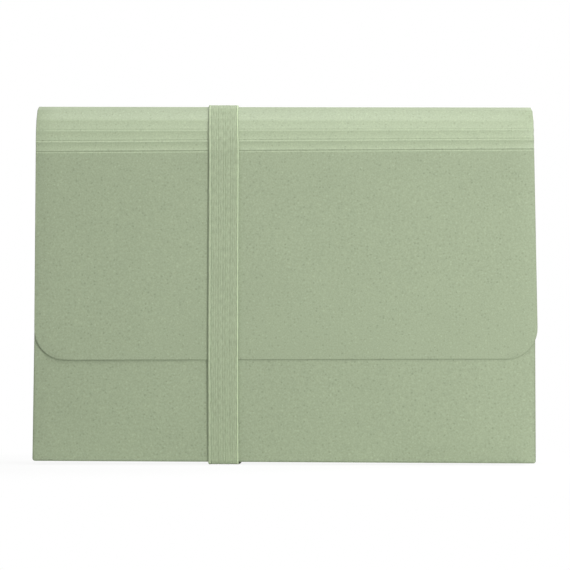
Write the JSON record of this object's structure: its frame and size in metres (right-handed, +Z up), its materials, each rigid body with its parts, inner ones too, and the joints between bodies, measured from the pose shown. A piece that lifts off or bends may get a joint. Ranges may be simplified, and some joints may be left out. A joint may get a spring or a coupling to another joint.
{
  "type": "expanding file folder",
  "caption": "Upright A4 expanding file with pleated pockets, tabbed dividers, a scored lid rolled over the top, and an elastic band.",
  "frame": {"origin": "on the surface the file stands on, under the middle of its box", "axes": "+X to the right seen from the front, +Y from the front to the back, +Z up"},
  "size_m": [0.33, 0.0336, 0.2394],
  "materials": {
    "cover": "speckled sage-green polypropylene sheet with a fine matte grain",
    "divider": "thin sage-green polypropylene sheet",
    "gusset": "thin folded sage-green polypropylene film",
    "clear_tab": "clear folded plastic sleeve",
    "card": "blank white card",
    "elastic": "ribbed woven elastic, dyed to match the cover"
  },
  "bodies": {
    "back": {"back_panel": "cover"},
    "spine_rear": {"spine_strip_1": "cover", "spine_strip_2": "cover", "spine_strip_3": "cover"},
    "spine_front": {"spine_strip_4": "cover", "spine_strip_5": "cover", "spine_strip_6": "cover", "spine_strip_7": "cover"},
    "lid_flap": {"lid_flap": "cover"},
    "front": {"front_panel": "cover"},
    "divider_1": {"divider_1": "divider", "index_tab_1": "clear_tab", "tab_card_1": "card"},
    "divider_2": {"divider_2": "divider", "index_tab_2": "clear_tab", "tab_card_2": "card"},
    "divider_3": {"divider_3": "divider", "index_tab_3": "clear_tab", "tab_card_3": "card"},
    "divider_4": {"divider_4": "divider", "index_tab_4": "clear_tab", "tab_card_4": "card"},
    "left_pleat_1_front": {"left_pleat_1_front": "gusset"},
    "right_pleat_1_front": {"right_pleat_1_front": "gusset"},
    "bottom_pleat_1_front": {"bottom_pleat_1_front": "gusset"},
    "left_pleat_1_rear": {"left_pleat_1_rear": "gusset"},
    "right_pleat_1_rear": {"right_pleat_1_rear": "gusset"},
    "bottom_pleat_1_rear": {"bottom_pleat_1_rear": "gusset"},
    "left_pleat_2_front": {"left_pleat_2_front": "gusset"},
    "right_pleat_2_front": {"right_pleat_2_front": "gusset"},
    "bottom_pleat_2_front": {"bottom_pleat_2_front": "gusset"},
    "left_pleat_2_rear": {"left_pleat_2_rear": "gusset"},
    "right_pleat_2_rear": {"right_pleat_2_rear": "gusset"},
    "bottom_pleat_2_rear": {"bottom_pleat_2_rear": "gusset"},
    "left_pleat_3_front": {"left_pleat_3_front": "gusset"},
    "right_pleat_3_front": {"right_pleat_3_front": "gusset"},
    "bottom_pleat_3_front": {"bottom_pleat_3_front": "gusset"},
    "left_pleat_3_rear": {"left_pleat_3_rear": "gusset"},
    "right_pleat_3_rear": {"right_pleat_3_rear": "gusset"},
    "bottom_pleat_3_rear": {"bottom_pleat_3_rear": "gusset"},
    "left_pleat_4_front": {"left_pleat_4_front": "gusset"},
    "right_pleat_4_front": {"right_pleat_4_front": "gusset"},
    "bottom_pleat_4_front": {"bottom_pleat_4_front": "gusset"},
    "left_pleat_4_rear": {"left_pleat_4_rear": "gusset"},
    "right_pleat_4_rear": {"right_pleat_4_rear": "gusset"},
    "bottom_pleat_4_rear": {"bottom_pleat_4_rear": "gusset"},
    "left_pleat_5_front": {"left_pleat_5_front": "gusset"},
    "right_pleat_5_front": {"right_pleat_5_front": "gusset"},
    "bottom_pleat_5_front": {"bottom_pleat_5_front": "gusset"},
    "left_pleat_5_rear": {"left_pleat_5_rear": "gusset"},
    "right_pleat_5_rear": {"right_pleat_5_rear": "gusset"},
    "bottom_pleat_5_rear": {"bottom_pleat_5_rear": "gusset"},
    "band": {"elastic_band": "elastic", "elastic_band_foot": "elastic"}
  },
  "joints": [
    {"name": "lid_open", "type": "hinge", "parent": "back", "child": "spine_rear", "pos_m": [0, 0.01485, 0.23125], "axis": [-1, 0, 0], "range_deg": [0, 61.2]},
    {"name": "spine_fold", "type": "hinge", "parent": "spine_rear", "child": "spine_front", "pos_m": [0, -0.00476, 0.23431], "axis": [-1, 0, 0], "range_deg": [0, 76.5]},
    {"name": "flap_fold", "type": "hinge", "parent": "spine_front", "child": "lid_flap", "pos_m": [0, -0.01485, 0.20655], "axis": [-1, 0, 0], "range_deg": [0, 20.4]},
    {"name": "pocket_5_spread", "type": "slide", "parent": "back", "child": "divider_4", "axis": [0, -1, 0], "range_m": [0, 0.01], "deforming": ["elastic_band"]},
    {"name": "pocket_4_spread", "type": "slide", "parent": "divider_4", "child": "divider_3", "axis": [0, -1, 0], "range_m": [0, 0.0102]},
    {"name": "pocket_3_spread", "type": "slide", "parent": "divider_3", "child": "divider_2", "axis": [0, -1, 0], "range_m": [0, 0.0102]},
    {"name": "pocket_2_spread", "type": "slide", "parent": "divider_2", "child": "divider_1", "axis": [0, -1, 0], "range_m": [0, 0.0102]},
    {"name": "pocket_1_spread", "type": "slide", "parent": "divider_1", "child": "front", "axis": [0, -1, 0], "range_m": [0, 0.0102]},
    {"name": "left_pleat_1_front_fold", "type": "hinge", "parent": "front", "child": "left_pleat_1_front", "pos_m": [-0.1632, -0.01287, 0], "axis": [0, 0, 1], "range_deg": [0, 22.05]},
    {"name": "right_pleat_1_front_fold", "type": "hinge", "parent": "front", "child": "right_pleat_1_front", "pos_m": [0.1632, -0.01287, 0], "axis": [0, 0, -1], "range_deg": [0, 22.05]},
    {"name": "bottom_pleat_1_front_fold", "type": "hinge", "parent": "front", "child": "bottom_pleat_1_front", "pos_m": [0, -0.01287, 0.0025], "axis": [-1, 0, 0], "range_deg": [0, 29.21]},
    {"name": "left_pleat_1_rear_fold", "type": "hinge", "parent": "divider_1", "child": "left_pleat_1_rear", "pos_m": [-0.1632, -0.00863, 0], "axis": [0, 0, -1], "range_deg": [0, 22.05]},
    {"name": "right_pleat_1_rear_fold", "type": "hinge", "parent": "divider_1", "child": "right_pleat_1_rear", "pos_m": [0.1632, -0.00863, 0], "axis": [0, 0, 1], "range_deg": [0, 22.05]},
    {"name": "bottom_pleat_1_rear_fold", "type": "hinge", "parent": "divider_1", "child": "bottom_pleat_1_rear", "pos_m": [0, -0.00863, 0.0025], "axis": [1, 0, 0], "range_deg": [0, 29.21]},
    {"name": "left_pleat_2_front_fold", "type": "hinge", "parent": "divider_1", "child": "left_pleat_2_front", "pos_m": [-0.1632, -0.00722, 0], "axis": [0, 0, 1], "range_deg": [0, 22.05]},
    {"name": "right_pleat_2_front_fold", "type": "hinge", "parent": "divider_1", "child": "right_pleat_2_front", "pos_m": [0.1632, -0.00722, 0], "axis": [0, 0, -1], "range_deg": [0, 22.05]},
    {"name": "bottom_pleat_2_front_fold", "type": "hinge", "parent": "divider_1", "child": "bottom_pleat_2_front", "pos_m": [0, -0.00722, 0.0025], "axis": [-1, 0, 0], "range_deg": [0, 29.21]},
    {"name": "left_pleat_2_rear_fold", "type": "hinge", "parent": "divider_2", "child": "left_pleat_2_rear", "pos_m": [-0.1632, -0.00298, 0], "axis": [0, 0, -1], "range_deg": [0, 22.05]},
    {"name": "right_pleat_2_rear_fold", "type": "hinge", "parent": "divider_2", "child": "right_pleat_2_rear", "pos_m": [0.1632, -0.00298, 0], "axis": [0, 0, 1], "range_deg": [0, 22.05]},
    {"name": "bottom_pleat_2_rear_fold", "type": "hinge", "parent": "divider_2", "child": "bottom_pleat_2_rear", "pos_m": [0, -0.00298, 0.0025], "axis": [1, 0, 0], "range_deg": [0, 29.21]},
    {"name": "left_pleat_3_front_fold", "type": "hinge", "parent": "divider_2", "child": "left_pleat_3_front", "pos_m": [-0.1632, -0.00158, 0], "axis": [0, 0, 1], "range_deg": [0, 22.05]},
    {"name": "right_pleat_3_front_fold", "type": "hinge", "parent": "divider_2", "child": "right_pleat_3_front", "pos_m": [0.1632, -0.00158, 0], "axis": [0, 0, -1], "range_deg": [0, 22.05]},
    {"name": "bottom_pleat_3_front_fold", "type": "hinge", "parent": "divider_2", "child": "bottom_pleat_3_front", "pos_m": [0, -0.00158, 0.0025], "axis": [-1, 0, 0], "range_deg": [0, 29.21]},
    {"name": "left_pleat_3_rear_fold", "type": "hinge", "parent": "divider_3", "child": "left_pleat_3_rear", "pos_m": [-0.1632, 0.00267, 0], "axis": [0, 0, -1], "range_deg": [0, 22.05]},
    {"name": "right_pleat_3_rear_fold", "type": "hinge", "parent": "divider_3", "child": "right_pleat_3_rear", "pos_m": [0.1632, 0.00267, 0], "axis": [0, 0, 1], "range_deg": [0, 22.05]},
    {"name": "bottom_pleat_3_rear_fold", "type": "hinge", "parent": "divider_3", "child": "bottom_pleat_3_rear", "pos_m": [0, 0.00267, 0.0025], "axis": [1, 0, 0], "range_deg": [0, 29.21]},
    {"name": "left_pleat_4_front_fold", "type": "hinge", "parent": "divider_3", "child": "left_pleat_4_front", "pos_m": [-0.1632, 0.00407, 0], "axis": [0, 0, 1], "range_deg": [0, 22.05]},
    {"name": "right_pleat_4_front_fold", "type": "hinge", "parent": "divider_3", "child": "right_pleat_4_front", "pos_m": [0.1632, 0.00407, 0], "axis": [0, 0, -1], "range_deg": [0, 22.05]},
    {"name": "bottom_pleat_4_front_fold", "type": "hinge", "parent": "divider_3", "child": "bottom_pleat_4_front", "pos_m": [0, 0.00407, 0.0025], "axis": [-1, 0, 0], "range_deg": [0, 29.21]},
    {"name": "left_pleat_4_rear_fold", "type": "hinge", "parent": "divider_4", "child": "left_pleat_4_rear", "pos_m": [-0.1632, 0.00833, 0], "axis": [0, 0, -1], "range_deg": [0, 22.05]},
    {"name": "right_pleat_4_rear_fold", "type": "hinge", "parent": "divider_4", "child": "right_pleat_4_rear", "pos_m": [0.1632, 0.00833, 0], "axis": [0, 0, 1], "range_deg": [0, 22.05]},
    {"name": "bottom_pleat_4_rear_fold", "type": "hinge", "parent": "divider_4", "child": "bottom_pleat_4_rear", "pos_m": [0, 0.00833, 0.0025], "axis": [1, 0, 0], "range_deg": [0, 29.21]},
    {"name": "left_pleat_5_front_fold", "type": "hinge", "parent": "divider_4", "child": "left_pleat_5_front", "pos_m": [-0.1632, 0.00972, 0], "axis": [0, 0, 1], "range_deg": [0, 22.05]},
    {"name": "right_pleat_5_front_fold", "type": "hinge", "parent": "divider_4", "child": "right_pleat_5_front", "pos_m": [0.1632, 0.00972, 0], "axis": [0, 0, -1], "range_deg": [0, 22.05]},
    {"name": "bottom_pleat_5_front_fold", "type": "hinge", "parent": "divider_4", "child": "bottom_pleat_5_front", "pos_m": [0, 0.00972, 0.0025], "axis": [-1, 0, 0], "range_deg": [0, 29.21]},
    {"name": "left_pleat_5_rear_fold", "type": "hinge", "parent": "back", "child": "left_pleat_5_rear", "pos_m": [-0.1632, 0.01397, 0], "axis": [0, 0, -1], "range_deg": [0, 22.05]},
    {"name": "right_pleat_5_rear_fold", "type": "hinge", "parent": "back", "child": "right_pleat_5_rear", "pos_m": [0.1632, 0.01397, 0], "axis": [0, 0, 1], "range_deg": [0, 22.05]},
    {"name": "bottom_pleat_5_rear_fold", "type": "hinge", "parent": "back", "child": "bottom_pleat_5_rear", "pos_m": [0, 0.01397, 0.0025], "axis": [1, 0, 0], "range_deg": [0, 29.21]},
    {"name": "band_slide", "type": "slide", "parent": "back", "child": "band", "axis": [1, 0, 0], "range_m": [-0.14, 0.22]}
  ],
  "couplings": [
    {"joint": "lid_open", "follows": "pocket_5_spread", "rad_per_m": 104.72},
    {"joint": "spine_fold", "follows": "pocket_5_spread", "rad_per_m": 130.9},
    {"joint": "flap_fold", "follows": "pocket_5_spread", "rad_per_m": 34.907},
    {"joint": "pocket_4_spread", "follows": "pocket_5_spread", "ratio": 1},
    {"joint": "pocket_3_spread", "follows": "pocket_5_spread", "ratio": 1},
    {"joint": "pocket_2_spread", "follows": "pocket_5_spread", "ratio": 1},
    {"joint": "pocket_1_spread", "follows": "pocket_5_spread", "ratio": 1},
    {"joint": "left_pleat_1_front_fold", "follows": "pocket_5_spread", "rad_per_m": 37.73},
    {"joint": "right_pleat_1_front_fold", "follows": "pocket_5_spread", "rad_per_m": 37.73},
    {"joint": "bottom_pleat_1_front_fold", "follows": "pocket_5_spread", "rad_per_m": 49.975},
    {"joint": "left_pleat_1_rear_fold", "follows": "pocket_5_spread", "rad_per_m": 37.73},
    {"joint": "right_pleat_1_rear_fold", "follows": "pocket_5_spread", "rad_per_m": 37.73},
    {"joint": "bottom_pleat_1_rear_fold", "follows": "pocket_5_spread", "rad_per_m": 49.975},
    {"joint": "left_pleat_2_front_fold", "follows": "pocket_5_spread", "rad_per_m": 37.73},
    {"joint": "right_pleat_2_front_fold", "follows": "pocket_5_spread", "rad_per_m": 37.73},
    {"joint": "bottom_pleat_2_front_fold", "follows": "pocket_5_spread", "rad_per_m": 49.975},
    {"joint": "left_pleat_2_rear_fold", "follows": "pocket_5_spread", "rad_per_m": 37.73},
    {"joint": "right_pleat_2_rear_fold", "follows": "pocket_5_spread", "rad_per_m": 37.73},
    {"joint": "bottom_pleat_2_rear_fold", "follows": "pocket_5_spread", "rad_per_m": 49.975},
    {"joint": "left_pleat_3_front_fold", "follows": "pocket_5_spread", "rad_per_m": 37.73},
    {"joint": "right_pleat_3_front_fold", "follows": "pocket_5_spread", "rad_per_m": 37.73},
    {"joint": "bottom_pleat_3_front_fold", "follows": "pocket_5_spread", "rad_per_m": 49.975},
    {"joint": "left_pleat_3_rear_fold", "follows": "pocket_5_spread", "rad_per_m": 37.73},
    {"joint": "right_pleat_3_rear_fold", "follows": "pocket_5_spread", "rad_per_m": 37.73},
    {"joint": "bottom_pleat_3_rear_fold", "follows": "pocket_5_spread", "rad_per_m": 49.975},
    {"joint": "left_pleat_4_front_fold", "follows": "pocket_5_spread", "rad_per_m": 37.73},
    {"joint": "right_pleat_4_front_fold", "follows": "pocket_5_spread", "rad_per_m": 37.73},
    {"joint": "bottom_pleat_4_front_fold", "follows": "pocket_5_spread", "rad_per_m": 49.975},
    {"joint": "left_pleat_4_rear_fold", "follows": "pocket_5_spread", "rad_per_m": 37.73},
    {"joint": "right_pleat_4_rear_fold", "follows": "pocket_5_spread", "rad_per_m": 37.73},
    {"joint": "bottom_pleat_4_rear_fold", "follows": "pocket_5_spread", "rad_per_m": 49.975},
    {"joint": "left_pleat_5_front_fold", "follows": "pocket_5_spread", "rad_per_m": 37.73},
    {"joint": "right_pleat_5_front_fold", "follows": "pocket_5_spread", "rad_per_m": 37.73},
    {"joint": "bottom_pleat_5_front_fold", "follows": "pocket_5_spread", "rad_per_m": 49.975},
    {"joint": "left_pleat_5_rear_fold", "follows": "pocket_5_spread", "rad_per_m": 37.73},
    {"joint": "right_pleat_5_rear_fold", "follows": "pocket_5_spread", "rad_per_m": 37.73},
    {"joint": "bottom_pleat_5_rear_fold", "follows": "pocket_5_spread", "rad_per_m": 49.975}
  ]
}
